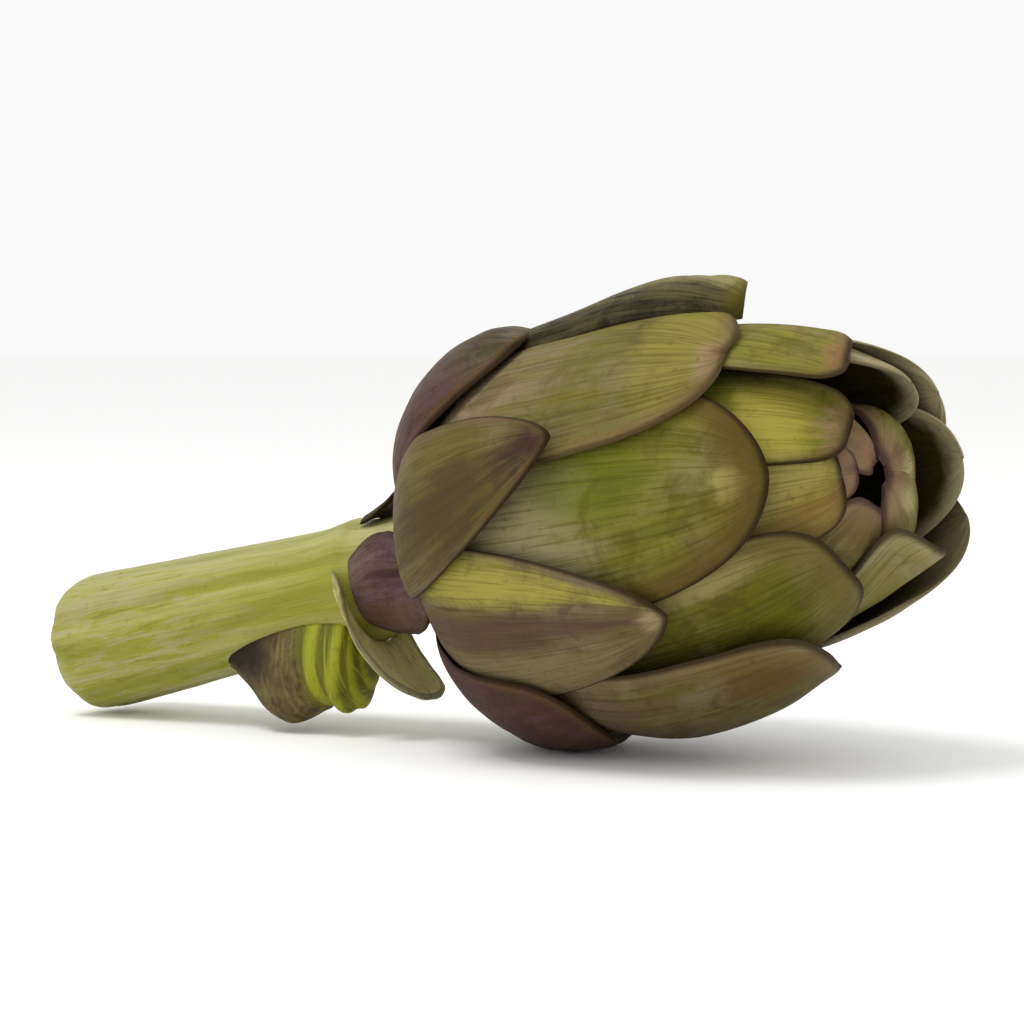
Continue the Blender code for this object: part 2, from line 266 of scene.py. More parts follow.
def leafTree(columns=112, rows=84):
    tree = bpy.data.node_groups.new("leafOnShell", "GeometryNodeTree")
    desk, given = askFor(tree, leafNumbers)
    ask = given.__getitem__
    lines = desk.add("GeometryNodeMeshToCurve", None, {"Mesh": ask("Geometry")})
    grid = desk.add("GeometryNodeMeshGrid", None,
                    {"Size X": 2.0, "Size Y": 1.0, "Vertices X": columns + 1, "Vertices Y": rows + 1})
    x, y, _ = desk.parts(desk.add("GeometryNodeInputPosition"))
    row = y + 0.5
    around = x * math.pi                      # once round the leaf's own section
    u = around.math("SINE")                   # across, -1 to 1
    face = around.math("COSINE")              # above 0 on the outer face
    side = face.math("SIGN")
    phi = ((row - 0.5) * math.pi).math("MAXIMUM", 0.0)
    blunt = ask("Bluntness")
    cosTip = phi.math("COSINE").math("MAXIMUM", 0.0) ** (2.0 / blunt)
    sinTip = phi.math("SINE").math("MAXIMUM", 0.0) ** (2.0 / blunt)
    fromMiddle = (u.math("ABSOLUTE") ** blunt) * (cosTip ** blunt) + sinTip ** blunt
    margin = fromMiddle.math("MAXIMUM", 0.0) ** (1.0 / blunt)     # 1 at the margin
    v = ask("Broadest") * (row * 2.0).math("MINIMUM", 1.0) + (1.0 - ask("Broadest")) * sinTip
    swell = (row.math("MINIMUM", 0.5) * math.pi).math("SINE")
    half = ask("Width") * 0.5 * (ask("Base Width") + (1.0 - ask("Base Width")) * swell) * cosTip
    lateral = u * cosTip
    dent = ask("Notch") * ((lateral / 0.16) ** 2.0 * -1.0).math("EXPONENT") * desk.ease(v, 0.75, 1.0)
    share = ask("Reach") * (v * (1.0 - ask("Slant") * lateral * desk.ease(v, 0.4, 1.0)) - dent)

    outerPoint, outerNormal = sample(desk, lines, 0, share)
    innerPoint, innerNormal = sample(desk, lines, 1, share)

    def depthAt(turn):
        toward = desk.ease((turn - math.radians(plant["openToward"])).math("COSINE"), *plant["openSide"])
        return ask("Depth") * (1.0 - ask("Opened") * toward * desk.ease(share, *plant["openAlong"]))

    middle = ask("Azimuth") + ask("Sway") * v * v
    own = desk.parts(desk.blendVector(depthAt(ask("Azimuth")), outerPoint, innerPoint))[2]
    swayed = middle + (u * half / own).math("MAXIMUM", -1.2).math("MINIMUM", 1.2)
    depth = depthAt(swayed)
    point = desk.blendVector(depth, outerPoint, innerPoint)
    normal = desk.vector("NORMALIZE", desk.blendVector(depth, outerNormal, innerNormal))

    seed = ask("Seed")
    rough = desk.noise(desk.join(u * 1.1 + seed, v * 2.6, seed * 0.37), 1.4, 2.0) - 0.5
    grain = desk.noise(desk.join(u * 5.0 + seed, v * 2.2, seed), 1.3, 3.0) - 0.5
    rimBand = ((((1.0 - margin) / 0.085) ** 2.0) * -1.0).math("EXPONENT") * desk.ease(v, 0.45, 0.72)
    thick = desk.blend(desk.ease(v, 0.5, 0.85), ask("Base Thickness"), ask("Tip Thickness"))
    body = (1.0 - margin ** 6.0).math("MAXIMUM", 0.0) ** 0.5 * desk.ease(row, 0.0, 0.05)
    raised = ask("Lift") * (desk.ease(v, ask("Lift From"), ask("Lift To")) ** 1.4) * (1.0 + ask("Skew") * u)
    curl = ask("Curl") * desk.ease(margin, 0.72, 1.0) ** 2.0 * desk.ease(v, 0.5, 0.9)
    ripple = ask("Waves") * rough * desk.ease(v, 0.15, 0.6) * (0.45 + margin * margin * 1.2)
    ribs = ask("Rib Height") * ((u * 22.0 + grain * 5.0).math("SINE") * 0.5 + grain * 1.6)
    ribs = ribs * (1.0 - margin ** 5.0)
    height = raised + ripple + curl + thick * 0.5 - ask("Hug") * margin ** 4.0
    height = height + ask("Rolled Rim") * rimBand + side * body * thick * (0.5 + 0.16 * rimBand)
    height = height + ribs * desk.ease(face, -0.1, 0.25) * body
    grown = desk.vector("ADD", point, desk.vector("SCALE", normal, scale=height))
    station, _, radius = desk.parts(grown)
    bend = (station - plant["bendFrom"] * mm).math("MINIMUM", 0.0)
    place = desk.join(station, bend * swing - radius * swayed.math("SINE"),
                      bend * droop + radius * swayed.math("COSINE"))
    kept = store(desk, grid, "leaf", desk.join(u, v, margin), "FLOAT_VECTOR")
    kept = store(desk, kept, "inside", desk.ease(face, 0.08, -0.08))
    moved = desk.add("GeometryNodeSetPosition", None, {"Geometry": kept, "Position": place})
    finishTree(desk, moved, ask("Skin"))
    return tree


def grow(name, tree, lines, numbers, skin, pressed=False):
    stand = carrier(name + "Line", lines)
    modifier = stand.modifiers.new("grow", "NODES")
    modifier.node_group = tree
    sockets = {s.name: s.identifier for s in tree.interface.items_tree if s.in_out == "INPUT"}
    for label, value in numbers.items():
        modifier[sockets[label]] = float(value)
    modifier[sockets["Skin"]] = skin
    bpy.context.view_layer.update()
    seen = bpy.context.evaluated_depsgraph_get()
    mesh = bpy.data.meshes.new_from_object(stand.evaluated_get(seen), preserve_all_data_layers=True,
                                           depsgraph=seen)
    bpy.data.objects.remove(stand)
    return settle(name, mesh, pressed)


def settle(name, mesh, pressed=False):  # into the world, faces outward, nothing below the table
    mesh.name = name
    mesh.transform(headToWorld)
    edit = bmesh.new()
    edit.from_mesh(mesh)
    bmesh.ops.dissolve_degenerate(edit, dist=1e-7, edges=edit.edges[:])
    bmesh.ops.recalc_face_normals(edit, faces=edit.faces[:])
    if edit.calc_volume(signed=True) < 0:
        bmesh.ops.reverse_faces(edit, faces=edit.faces[:])
    if pressed:
        for vertex in edit.verts:
            vertex.co.z = max(vertex.co.z, 0.0)
    loose = sum(1 for e in edit.edges if len(e.link_faces) != 2)
    if loose:
        print("open edges on", name, loose)
    for part in edit.faces:
        part.smooth = True
    edit.to_mesh(mesh)
    edit.free()
    piece = bpy.data.objects.new(name, mesh)
    bpy.context.scene.collection.objects.link(piece)
    return piece


def takePlace(piece, slot, *nodes):
    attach(piece, "root")
    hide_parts(*nodes)


def leafSkin(name, look, seed):
    skin = bpy.data.materials.new(name)
    skin.use_nodes = True
    desk = Desk(skin.node_tree)
    shader = skin.node_tree.nodes["Principled BSDF"]
    across, along, margin = desk.parts(desk.read("leaf", "Vector"))
    inside = desk.read("inside")
    place = desk.add("ShaderNodeTexCoord", None, None, "Object")

    streak = desk.noise(desk.join(across * 3.4 + seed, along * 1.5, seed), 1.8, 5.0, 0.66, 0.25)
    fibre = desk.noise(desk.join(across * 15.0 + seed, along * 2.1, seed), 2.0, 4.0, 0.64)
    cloud = desk.noise(place, 68.0, 5.0, 0.62, 0.4)
    stain = desk.noise(desk.vector("ADD", place, (0.37, 0.11, 0.05)), 118.0, 5.0, 0.66, 0.7)
    speck = desk.noise(place, 420.0, 2.0, 0.6)

    fresh = desk.blendColour(desk.ease(streak, 0.38, 0.62), look["fresh"], look["second"])
    fresh = desk.blendColour(desk.ease(cloud, 0.48, 0.66) * 0.6, fresh, look["pale"])
    wander = (streak - 0.5) * 0.55 + (cloud - 0.5) * 0.5
    blush = desk.ease(along + wander, look["blushTo"] + 0.14, look["blushTo"] - 0.2)
    colour = desk.blendColour(blush * look["blushing"], fresh, look["blush"])
    sides = desk.ease(across.math("ABSOLUTE") + (cloud - 0.5) * 0.4, 0.66, 1.0)
    colour = desk.blendColour(sides * look["siding"], colour, look["side"])
    bloom = desk.ease(cloud * 0.5 + fibre * 0.5, 0.44, 0.62)
    colour = desk.blendColour(bloom * look["blooming"], colour, look["bloom"])
    colour = desk.blendColour(desk.ease(stain, 0.49, 0.66) * look["staining"], colour, look["stain"])
    for (atAcross, atAlong), (wide, long), tint, strength in look.get("patches", ()):
        far = ((across - atAcross) / wide) ** 2.0 + ((along - atAlong) / long) ** 2.0
        far = far + (streak - 0.5) * 2.2 + (stain - 0.5) * 1.8
        colour = desk.blendColour(desk.ease(far, 1.5, 0.0) * strength, colour, tint)
    colour = desk.blendColour(inside * desk.ease(streak, -0.3, 0.7), colour, look["under"])
    rim = desk.ease(margin + (stain - 0.5) * 0.12, 1.0 - look["rimWide"], 0.99) * desk.ease(along, 0.45, 0.8)
    colour = desk.blendColour(rim * look["rimming"], colour, look["rim"])
    colour = desk.blendColour(desk.ease(fibre, 0.52, 0.36) * 0.42, colour, look["vein"])
    colour = desk.blendColour(desk.ease(speck, 0.6, 0.76) * 0.35, colour, look["vein"])
    # painted shade: a dark line along each bract's margin, wider on its inner face, stands in for the shadow
    # in the gaps between overlapping bracts
    edge = desk.ease(margin + inside * 0.07, 0.958, 0.992)
    colour = desk.blendColour(edge * look["edging"], colour, look["edge"])
    shader.inputs["IOR"].default_value = 1.3
    shader.inputs["Specular IOR Level"].default_value = 0.16
    skin.node_tree.links.new(colour.socket, shader.inputs["Base Color"])
    dull = 0.56 + (cloud - 0.5) * 0.22 + (fibre - 0.5) * 0.12
    skin.node_tree.links.new(dull.socket, shader.inputs["Roughness"])
    relief = fibre * 0.6 + speck * 0.25 + cloud * 0.6 + stain * 0.3
    bump = desk.add("ShaderNodeBump", None, {"Strength": 0.6, "Distance": 0.0006, "Height": relief})
    skin.node_tree.links.new(bump.socket, shader.inputs["Normal"])
    return skin


tints = {
    "bright": paint(122, 126, 24), "leafGreen": paint(98, 102, 24), "olive": paint(94, 88, 34),
    "greyGreen": paint(122, 118, 70), "mauve": paint(120, 102, 84), "purple": paint(78, 54, 58),
    "deepPurple": paint(58, 36, 40), "brown": paint(92, 68, 38), "darkBrown": paint(48, 32, 18),
    "beige": paint(146, 134, 92), "grey": paint(122, 114, 88), "darkGreen": paint(56, 56, 18),
    # the gap tint is painted shade: the dark of the shadow between overlapping bracts
    "underGreen": paint(74, 68, 30), "vein": paint(66, 60, 20), "gapShade": paint(36, 26, 9),
}

freshLook = {   # a tint, and beside it how strong it is and where it starts or how wide it is
    "fresh": tints["leafGreen"], "second": tints["bright"], "pale": tints["greyGreen"],
    "blush": tints["mauve"], "blushTo": 0.30, "blushing": 0.85,
    "side": tints["greyGreen"], "siding": 0.35,
    "bloom": tints["grey"], "blooming": 0.25,
    "stain": tints["olive"], "staining": 0.55,
    "rim": tints["brown"], "rimWide": 0.10, "rimming": 0.75,
    "edge": tints["gapShade"], "edging": 0.85,
    "vein": tints["vein"], "under": tints["underGreen"],
}


def look(base=None, **changes):
    return {**freshLook, **(base or {}), **changes}


darkLook = dict(fresh=tints["olive"], second=tints["darkGreen"], pale=tints["grey"], blush=tints["purple"],
                blushTo=0.55, side=tints["purple"], siding=0.5, blooming=0.35, stain=tints["darkBrown"])
farLook = dict(fresh=paint(74, 66, 30), second=paint(90, 82, 42), pale=tints["beige"],
               blush=tints["purple"], blushTo=0.5, side=tints["grey"], siding=0.5,
               stain=tints["darkBrown"], rim=paint(168, 158, 120), rimWide=0.12, rimming=0.9,
               # painted shade: the dark under colour of the far bracts' inner faces stands in for the shade
               # they lie in
               under=paint(46, 38, 14), edging=0.15)
budLook = look(fresh=paint(104, 98, 42), second=paint(122, 114, 60), pale=paint(140, 130, 84), blushTo=0.2,
               stain=paint(76, 58, 30), rim=paint(134, 108, 82), rimWide=0.16, rimming=0.7,
               under=tints["darkBrown"], edge=tints["deepPurple"], edging=0.8)

# a patch is where it lies across and along, how wide and long it is, its tint and its strength
farBud = look(budLook, under=paint(104, 94, 46),
              # the first patch is a painted highlight, a pale beige spot near the tip; the second is the
              # tip's own pinkish brown
              patches=(((-0.2, 0.96), (0.3, 0.05), paint(168, 156, 112), 0.9),
                       ((0.2, 1.0), (0.9, 0.05), paint(92, 60, 44), 0.8)))
pinkBud = look(budLook, patches=(((0.0, 1.0), (1.2, 0.10), paint(132, 98, 82), 0.9),
                                 ((0.1, 1.0), (0.5, 0.03), paint(66, 34, 36), 0.9)))
oliveBud = look(budLook, patches=(((-0.2, 0.96), (1.0, 0.08), paint(96, 76, 40), 0.8),))

bracts = {   # outermost first: where each is, and what differs on it
    0: dict(azimuth=12, tip=39.5, width=56, lift=0.0, sway=8, blunt=1.9, hug=4.0,
            look=look(darkLook, fresh=paint(90, 82, 60), blush=paint(80, 60, 58), blushTo=0.9,
                      bloom=paint(112, 98, 88))),
    1: dict(azimuth=190, tip=34, width=42, lift=0.0, hug=2.5),
    3: dict(azimuth=78, tip=58, width=34, lift=1.0, sway=-12, blunt=1.45, broad=0.45, baseWidth=0.15,
            hug=0.6,
            look=look(fresh=paint(88, 80, 36), second=paint(98, 90, 40), pale=paint(112, 102, 66),
                      blush=paint(106, 90, 70), blushTo=0.40, side=paint(104, 82, 76), siding=0.4,
                      blooming=0.2, staining=0.6,
                      patches=(((0.1, 1.0), (0.9, 0.2), paint(54, 32, 36), 0.95),
                               ((0.3, 0.62), (0.7, 0.34), paint(64, 50, 32), 0.75)))),
    4: dict(azimuth=164, tip=43, width=46, lift=1.4, liftFrom=0.0, liftTo=0.6, sway=-12, blunt=2.4, hug=1.6,
            look=look(darkLook, fresh=paint(82, 56, 56), blush=paint(66, 40, 42), blushTo=1.3,
                      bloom=paint(94, 72, 68))),
    5: dict(azimuth=-1.7, tip=84.5, width=32, lift=4.3, skew=-0.8, sway=6, liftFrom=0.0, tipThick=4.0,
            blunt=1.55, hug=3.4, baseWidth=0.9, roll=0.5,
            look=look(fresh=paint(150, 143, 100), second=paint(132, 126, 72), pale=paint(172, 163, 124),
                      siding=0.0, blush=paint(128, 112, 90), blushTo=0.4, rimming=0.0, edging=0.3,
                      # painted shade: the near-black under colour and the first, dark patch over the near
                      # half stand in for the shade under and beside the lifted flap
                      under=paint(44, 34, 14),
                      patches=(((1.15, 0.9), (1.25, 1.2), paint(24, 18, 6), 1.0),
                               ((0.1, 1.0), (1.2, 0.05), paint(92, 84, 26), 0.9)))),
    6: dict(azimuth=114, tip=72.5, width=39, lift=0.9, sway=7, blunt=1.6, broad=0.36, hug=0.6,
            look=look(fresh=paint(96, 82, 54), second=paint(98, 88, 46), pale=paint(112, 100, 72),
                      blush=paint(104, 84, 70), blushTo=0.34, side=paint(116, 104, 78), siding=0.6,
                      blooming=0.3, stain=paint(76, 56, 44), rimming=0.3,
                      patches=(((0.55, 0.6), (0.3, 0.3), paint(118, 108, 74), 0.8),
                               ((-0.62, 0.5), (0.3, 0.4), paint(150, 144, 64), 1.0),
                               ((-0.05, 0.55), (0.25, 0.45), paint(80, 62, 48), 0.85),
                               ((0.0, 1.0), (0.7, 0.07), paint(160, 142, 104), 0.9)))),
    8: dict(azimuth=28, tip=88.5, width=57, lift=1.4, sway=6, blunt=2.15, notch=0.012, hug=0.5, baseWidth=1.0,
            look=look(fresh=paint(98, 94, 40), second=paint(104, 98, 30), pale=paint(122, 112, 74),
                      blush=paint(136, 118, 94), blushTo=0.52, side=paint(124, 110, 74), siding=0.5,
                      stain=paint(88, 74, 42), rim=paint(118, 96, 60), rimWide=0.12, edging=0.6,
                      patches=(((0.0, 0.9), (0.9, 0.12), paint(132, 124, 54), 0.85),
                               ((0.35, 0.98), (0.7, 0.05), paint(148, 122, 90), 0.9),
                               ((0.1, 1.0), (0.2, 0.03), paint(66, 40, 30), 0.85)))),
    9: dict(azimuth=169.5, tip=87.6, width=52, lift=5.4, liftFrom=0.28, liftTo=0.64, roll=0.6, blunt=2.8,
            hug=2.8, sway=12, slant=0.115,
            look=look(fresh=paint(88, 78, 40), second=paint(92, 84, 28), pale=paint(110, 98, 70),
                      blush=paint(94, 76, 62), blushTo=0.62, side=paint(104, 94, 68), siding=0.5,
                      stain=paint(66, 50, 30), rimWide=0.16, rim=paint(118, 102, 66),
                      patches=(((-0.7, 0.9), (0.4, 0.12), paint(94, 66, 30), 0.9),
                               ((-0.98, 0.96), (0.16, 0.04), paint(150, 140, 112), 0.95)))),
    10: dict(azimuth=-57, tip=112, width=48, lift=0.5, look=look(farLook)),
    11: dict(azimuth=78, tip=96, width=53, lift=1.2, sway=6, blunt=1.8, tipThick=2.2, hug=0.2,
             look=look(fresh=paint(96, 96, 28), second=paint(114, 112, 38), pale=paint(124, 118, 66),
                       blush=paint(126, 120, 76), blushTo=0.5, side=paint(116, 106, 62), siding=0.5,
                       rim=paint(84, 64, 26), rimWide=0.3, rimming=0.85, stain=paint(76, 70, 20),
                       staining=0.5,
                       patches=(((0.1, 0.34), (1.3, 0.26), paint(148, 139, 100), 0.75),
                                ((-0.1, 0.62), (0.35, 0.14), paint(82, 94, 8), 0.6),
                                # the last patch is a painted highlight: a pale spot near the tip
                                ((0.12, 0.92), (0.3, 0.04), paint(158, 148, 84), 0.9)))),
    12: dict(azimuth=-128, tip=111.4, width=54, lift=4.4, hug=3.0, slant=0.1, sway=12, blunt=2.0,
             look=look(farLook, rim=paint(132, 122, 90), rimWide=0.34)),
    13: dict(azimuth=11, tip=106, width=30, lift=2.8, skew=0.9, liftFrom=0.4, sway=5, blunt=3.2,
             tipThick=2.0, hug=0.0,
             look=look(fresh=paint(102, 102, 20), second=paint(128, 124, 38), pale=paint(126, 118, 60),
                       stain=paint(86, 80, 22), rimming=0.4,
                       patches=(((0.0, 1.0), (1.2, 0.055), paint(142, 110, 74), 0.95),))),
    14: dict(azimuth=143, tip=101, width=41, lift=1.4, roll=0.7, blunt=2.7, hug=0.3,
             look=look(fresh=paint(82, 82, 14), second=paint(94, 92, 20), pale=paint(112, 106, 52),
                       blush=paint(100, 94, 52), blushTo=0.45, stain=paint(70, 60, 20),
                       rim=paint(106, 92, 52), rimWide=0.26,
                       patches=(((-0.7, 0.72), (0.2, 0.16), paint(140, 130, 80), 0.85),))),
    15: dict(azimuth=-90, tip=115, width=42, lift=0.4, curl=-1.2, tipThick=2.6, look=look(farLook)),
    16: dict(azimuth=60, tip=107, width=25, lift=0.1, blunt=3.0, sway=-12, hug=0.8,
             look=look(fresh=paint(84, 88, 6), second=paint(104, 104, 14), pale=paint(126, 118, 50),
                       blushTo=0.2, stain=paint(70, 70, 14),
                       patches=(((0.0, 0.62), (1.3, 0.13), paint(80, 90, 2), 0.9),
                                ((0.2, 0.84), (0.9, 0.1), paint(156, 148, 62), 0.9),
                                ((0.1, 1.0), (1.0, 0.08), paint(144, 120, 84), 0.9)))),
    17: dict(azimuth=211, tip=115, width=37, lift=-1.9, blunt=2.2, slant=0.04, sway=-10,
             look=look(fresh=paint(118, 110, 54), second=paint(132, 124, 70), pale=paint(146, 138, 96),
                       rim=paint(156, 148, 108), rimWide=0.12, stain=paint(84, 74, 36), blushTo=0.2)),
    18: dict(azimuth=-37, tip=112, width=40, lift=0.3, curl=-2.4, tipThick=2.8, look=look(farLook)),
    19: dict(azimuth=93, tip=104.4, width=29, lift=0.2, blunt=2.8,
             look=look(fresh=paint(122, 120, 34), second=paint(146, 138, 62), pale=paint(146, 138, 80),
                       blushTo=0.2, rimming=0.5,
                       patches=(((0.6, 0.95), (0.7, 0.16), paint(124, 92, 54), 0.7),
                                ((-0.3, 0.9), (0.5, 0.1), paint(144, 136, 72), 0.8)))),
    20: dict(azimuth=240, tip=107, width=30, depth=0.96, lift=7.5, hug=7.5, liftFrom=0.3, liftTo=0.85,
             look=farBud),
    21: dict(azimuth=34, tip=106, width=22, depth=0.98, lift=-0.4, look=pinkBud),
    22: dict(azimuth=158, tip=104.8, width=30, depth=0.96, look=oliveBud),
    23: dict(azimuth=-78, tip=107, width=28, depth=0.97, lift=8, hug=8, liftFrom=0.3, liftTo=0.85,
             look=farBud),
    24: dict(azimuth=84, tip=104.4, width=22, look=pinkBud),
}

bractRule = {   # what holds where nothing is set one by one
    "firstTip": 43.0, "lastTip": 109.0, "crowding": 1.7, "levelFrom": 20.0,     # from here no tip is higher
    "firstWidth": 34.0, "widening": 18.0, "widestAt": 6.0, "budNarrowing": 50.0, "narrowFrom": 0.5,
    "lift": 0.3,
}

leafSizes = {   # mm, degrees and shares, for a bract that says nothing else
    "baseThick": 1.3, "tipThick": 2.3, "baseWidth": 0.56, "broad": 0.5, "blunt": 2.3, "roll": 0.25,
    "notch": 0.0, "waves": 1.0, "ribs": 0.10, "sway": 0.0, "hug": 0.35, "curl": 0.0, "skew": 0.0,
    "slant": 0.0, "liftFrom": 0.35, "liftTo": 1.0, "look": look(darkLook),
}


def depthOf(index):  # 0 on the outer profile, 1 on the inner one
    return index / (plant["bractCount"] - 1)


def bractPlace(index):
    low = max(0.0, 1.0 - index / bractRule["levelFrom"]) ** bractRule["crowding"]
    wide = bractRule["widening"] * min(1.0, index / bractRule["widestAt"])
    narrow = bractRule["budNarrowing"] * max(0.0, depthOf(index) - bractRule["narrowFrom"])
    return {"azimuth": (plant["firstAzimuth"] + plant["goldenAngle"] * index) % 360,
            "tip": bractRule["lastTip"] - (bractRule["lastTip"] - bractRule["firstTip"]) * low,
            "width": bractRule["firstWidth"] + wide - narrow,
            "lift": bractRule["lift"], "depth": depthOf(index)}


def reachOf(azimuth, tip, depth, opened):  # share of the profile at which the bract ends
    toward = smooth(*plant["openSide"], math.cos(math.radians(azimuth - plant["openToward"])))
    mixed = depth * (1 - opened * toward * smooth(*plant["openAlong"], shares))
    own = outerLine[:, 0] + (innerLine[:, 0] - outerLine[:, 0]) * mixed
    return float(np.interp(tip, own, shares))


def leafInputs(sizes, depth, reach, opened, seed):
    return {
        "Azimuth": math.radians(sizes["azimuth"]), "Depth": depth, "Reach": reach, "Opened": opened,
        "Width": sizes["width"] * mm, "Lift": sizes["lift"] * mm, "Skew": sizes["skew"],
        "Base Thickness": sizes["baseThick"] * mm, "Tip Thickness": sizes["tipThick"] * mm,
        "Base Width": sizes["baseWidth"], "Broadest": sizes["broad"], "Bluntness": sizes["blunt"],
        "Rolled Rim": sizes["roll"] * mm, "Notch": sizes["notch"], "Waves": sizes["waves"] * mm,
        "Rib Height": sizes["ribs"] * mm, "Sway": math.radians(sizes["sway"]), "Hug": sizes["hug"] * mm,
        "Curl": sizes["curl"] * mm, "Slant": sizes["slant"], "Lift From": sizes["liftFrom"],
        "Lift To": sizes["liftTo"], "Seed": seed,
    }


onShell = leafTree()

for index in range(plant["bractCount"]):
    sizes = {**leafSizes, **bractPlace(index), **bracts.get(index, {})}
    opened = plant["opened"] if index < plant["budFrom"] else 0.0
    reach = reachOf(sizes["azimuth"], sizes["tip"], sizes["depth"], opened)
    name = f"bract_{index + 1:02d}"
    skin = leafSkin(name + "_skin", sizes["look"], seed=3.7 * index + 1.3)
    numbers = leafInputs(sizes, sizes["depth"], reach, opened, seed=1.9 * index + 0.7)
    piece = grow(name + "_leaf", onShell, (outerLine, innerLine), numbers, skin, pressed=True)
    group = "outer" if index < plant["middleFrom"] else "middle" if index < plant["budFrom"] else "bud"
    takePlace(piece, group + "_bract_skin", name)
print("bracts grown:", plant["bractCount"])

neckBracts = (
    dict(azimuth=101, width=24, blunt=2.4, tipThick=1.6, waves=1.6, baseWidth=0.55,
         line=((-14.5, 13.2), (-10, 14.8), (-5, 16.6), (0, 18.2), (5, 19.6), (8.5, 20.8)),
         look=look(fresh=paint(92, 68, 72), second=paint(76, 52, 58), pale=paint(112, 92, 92),
                   blush=paint(98, 76, 72), side=paint(52, 34, 26), siding=0.8, stain=paint(62, 40, 42),
                   rim=paint(66, 46, 30), under=tints["darkBrown"],
                   patches=(((-0.25, 0.7), (0.09, 0.5), paint(44, 22, 30), 0.8),
                            ((0.5, 0.5), (0.3, 0.4), paint(88, 66, 50), 0.7)))),
    dict(azimuth=149, width=31, blunt=2.1, sway=26, lift=2.0, slant=-0.08, liftFrom=0.0, liftTo=0.7,
         tipThick=2.0, baseWidth=1.1,
         line=((-18.5, 13.2), (-15.5, 15.3), (-12, 19), (-8.5, 22.8), (-6.5, 25), (-5.5, 26.4)),
         # painted light: this bract's own pale beige-green is laid on far brighter, to make up for the shade
         # it lies in; the first patch, dark olive on one side, is painted shade of a shaded hollow
         look=look(fresh=paint(232, 220, 148), second=paint(216, 202, 126), pale=paint(240, 230, 180),
                   blush=paint(212, 202, 140), blushing=0.3, rim=paint(226, 220, 168), rimWide=0.16,
                   rimming=0.8, edging=0.6, under=paint(190, 178, 110),
                   patches=(((0.5, 0.55), (0.5, 0.4), paint(120, 104, 56), 0.9),
                            ((0.0, 0.95), (0.6, 0.1), paint(220, 214, 110), 0.8)))),
    dict(azimuth=-2, width=16, blunt=1.7, sway=-20,
         line=((-15, 12.6), (-11, 13.8), (-7, 15.6), (-3, 18.8), (0, 24)),
         # painted shade: the whole small bract is laid on near-black to stand in for the shaded wedge it sits
         # in under the head
         look=look(fresh=paint(46, 42, 22), second=paint(60, 54, 30), pale=paint(70, 64, 44),
                   blush=paint(50, 44, 26), bloom=paint(70, 64, 44), side=paint(44, 38, 20),
                   stain=tints["darkBrown"], rim=tints["darkBrown"])),
)

neckSizes = {**leafSizes, "lift": 0.0, "baseThick": 1.5, "tipThick": 1.2, "baseWidth": 0.8, "broad": 0.45,
             "waves": 0.8, "ribs": 0.12, "hug": 0.0}

for index, small in enumerate(neckBracts):
    sizes = {**neckSizes, **small}
    name = f"neck_bract_{index + 1}"
    line = spline(sizes["line"])
    skin = leafSkin(name + "_skin", sizes["look"], seed=5.1 * index + 2.2)
    numbers = leafInputs(sizes, depth=0.0, reach=1.0, opened=0.0, seed=2.3 * index + 9.0)
    piece = grow(name + "_leaf", onShell, (line, line), numbers, skin)
    takePlace(piece, "neck_bract_skin", name)
print("neck bracts grown")

stem = {
    "line": ((-96.4, 0.0), (-96.6, 4.0), (-97, 9), (-96.8, 12.2), (-95.4, 14.2), (-92.5, 15.3), (-88, 15.3),
             (-80, 14.9), (-60, 14.1), (-40, 13.3), (-28, 12.9), (-22, 13.5), (-19, 13.8), (-16, 12.9),
             (-8, 12.4), (0, 12.6), (5, 14), (12, 17.2), (19, 20.6), (25.5, 22.4), (27, 14), (27, 0.0)),
    "ridges": 9.0, "ridgeHeight": 0.5, "lumps": 0.8,      # ridges are a count, the others mm
    "cutFrom": -94.5, "cutTo": -96.2, "cutRough": 0.6,    # stations where the torn fibres of the cut show
    "smoothFrom": 16.0,                                   # station past which the bracts hide it
}


